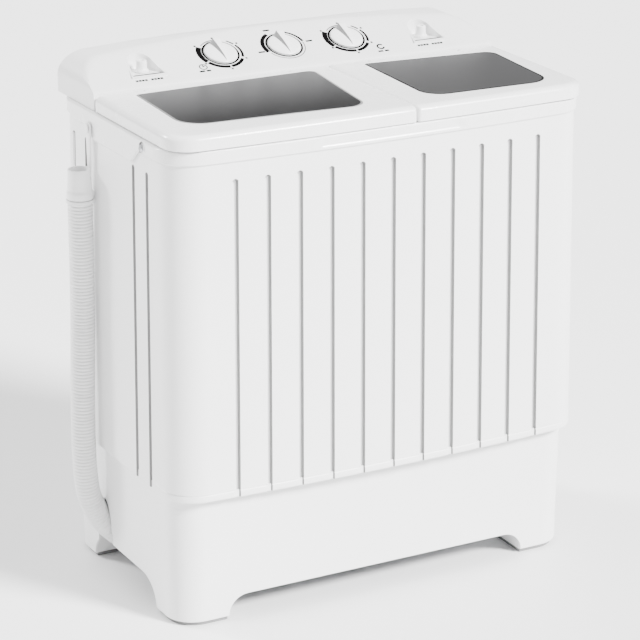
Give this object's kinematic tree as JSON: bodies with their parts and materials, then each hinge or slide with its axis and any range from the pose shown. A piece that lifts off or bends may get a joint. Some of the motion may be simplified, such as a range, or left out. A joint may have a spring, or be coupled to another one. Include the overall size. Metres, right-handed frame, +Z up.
{
  "type": "twin tub washer",
  "caption": "Compact twin tub washer: wash tub with pulsator, spin basket, hinged lids with smoked windows, inclined control panel, and a drain hose hung on its side.",
  "frame": {"origin": "on the floor under the middle of the machine, at the bottom centre of its bounding box without the drain hose", "axes": "+Z up; +X to the machine's right as its user faces it; the front faces -Y, the control panel is towards +Y"},
  "size_m": [0.6539, 0.3751, 0.7047],
  "materials": {
    "white_gloss": "gloss",
    "white_satin": "satin",
    "smoked_window": "polished",
    "hose_plastic": "satin",
    "tub_plastic": "satin",
    "blue_grey": "satin",
    "steel": "zinc plated",
    "painted_steel": "satin",
    "rubber": "matte"
  },
  "bodies": {
    "washer": {"cabinet": "white_gloss", "base": "white_gloss", "foot_front_left": "white_satin", "foot_front_right": "white_satin", "foot_rear_left": "white_satin", "foot_rear_right": "white_satin", "rear_cover": "white_satin", "cord_grommet": "rubber", "top_deck": "white_gloss", "side_screw_left_front": "steel", "side_screw_right_front": "steel", "side_screw_right_rear": "white_satin", "hose_peg": "white_satin", "control_panel": "white_gloss", "wash_water_inlet": "white_gloss", "spin_water_inlet": "white_gloss", "wash_timer": "blue_grey", "selector_switch": "blue_grey", "spin_timer": "blue_grey", "wash_hinge_rod": "steel", "spin_hinge_rod": "steel", "wash_tub": "tub_plastic", "shaft_housing": "painted_steel", "wash_seal": "rubber", "overflow_grille": "tub_plastic", "drive_belt": "rubber", "wash_motor": "painted_steel", "spin_tub": "tub_plastic", "bellows_seal": "rubber", "brake_pivot": "steel", "spin_motor": "painted_steel", "spin_damper_1": "rubber", "spin_damper_2": "rubber", "spin_damper_3": "rubber", "motor_bracket": "steel", "drain_valve": "tub_plastic", "drain_elbow": "tub_plastic", "drain_hose": "hose_plastic", "hose_cuff": "hose_plastic", "hose_strap": "white_satin"},
    "wash_lid_body": {"wash_lid": "white_gloss", "wash_lid_window": "smoked_window"},
    "spin_lid_body": {"spin_lid": "white_gloss", "spin_lid_window": "smoked_window"},
    "wash_knob_body": {"wash_timer_knob": "white_gloss"},
    "selector_body": {"selector_knob": "white_gloss"},
    "spin_knob_body": {"spin_timer_knob": "white_gloss"},
    "pulsator_body": {"pulsator": "blue_grey", "pulsator_shaft": "steel", "driven_pulley": "painted_steel"},
    "motor_rotor": {"motor_pulley": "painted_steel", "wash_motor_shaft": "steel"},
    "basket_body": {"spin_basket": "tub_plastic", "balance_ring": "blue_grey", "spin_shaft": "steel", "brake_drum": "steel"},
    "press_cap_body": {"spin_press_cap": "blue_grey"},
    "brake_body": {"brake_lever": "painted_steel"},
    "filter_body": {"lint_filter": "blue_grey"}
  },
  "joints": [
    {"name": "wash_lid_hinge", "type": "hinge", "parent": "washer", "child": "wash_lid_body", "pos_m": [-0.13, 0.05, 0.6541], "axis": [-1, 0, 0], "range_deg": [0, 95]},
    {"name": "spin_lid_hinge", "type": "hinge", "parent": "washer", "child": "spin_lid_body", "pos_m": [0.17, 0.05, 0.6541], "axis": [-1, 0, 0], "range_deg": [0, 95]},
    {"name": "wash_timer_turn", "type": "hinge", "parent": "washer", "child": "wash_knob_body", "pos_m": [-0.095, 0.10863, 0.68554], "axis": [0, 0.4067, -0.9135], "range_deg": [0, 300]},
    {"name": "selector_turn", "type": "hinge", "parent": "washer", "child": "selector_body", "pos_m": [0, 0.10863, 0.68554], "axis": [0, 0.4067, -0.9135], "range_deg": [-60, 60]},
    {"name": "spin_timer_turn", "type": "hinge", "parent": "washer", "child": "spin_knob_body", "pos_m": [0.095, 0.10863, 0.68554], "axis": [0, 0.4067, -0.9135], "range_deg": [0, 300]},
    {"name": "pulsator_spin", "type": "hinge", "parent": "washer", "child": "pulsator_body", "pos_m": [-0.132, -0.05, 0.262], "axis": [0, 0, 1], "continuous": true},
    {"name": "motor_spin", "type": "hinge", "parent": "washer", "child": "motor_rotor", "pos_m": [-0.06, 0.1, 0.168], "axis": [0, 0, 1], "continuous": true},
    {"name": "basket_spin", "type": "hinge", "parent": "washer", "child": "basket_body", "pos_m": [0.163, -0.048, 0.278], "axis": [0, 0, 1], "continuous": true},
    {"name": "press_cap_lift", "type": "slide", "parent": "basket_body", "child": "press_cap_body", "axis": [0, 0, 1], "range_m": [0, 0.12]},
    {"name": "brake_swing", "type": "hinge", "parent": "washer", "child": "brake_body", "pos_m": [0.229, 0.01, 0.189], "axis": [0, 0, 1], "range_deg": [-2.2, 0]},
    {"name": "lint_filter_lift", "type": "slide", "parent": "washer", "child": "filter_body", "axis": [0, 0, 1], "range_m": [0, 0.06]}
  ],
  "couplings": [
    {"joint": "motor_spin", "follows": "pulsator_spin", "ratio": 3.3684},
    {"joint": "brake_swing", "follows": "spin_lid_hinge", "ratio": -0.02}
  ]
}
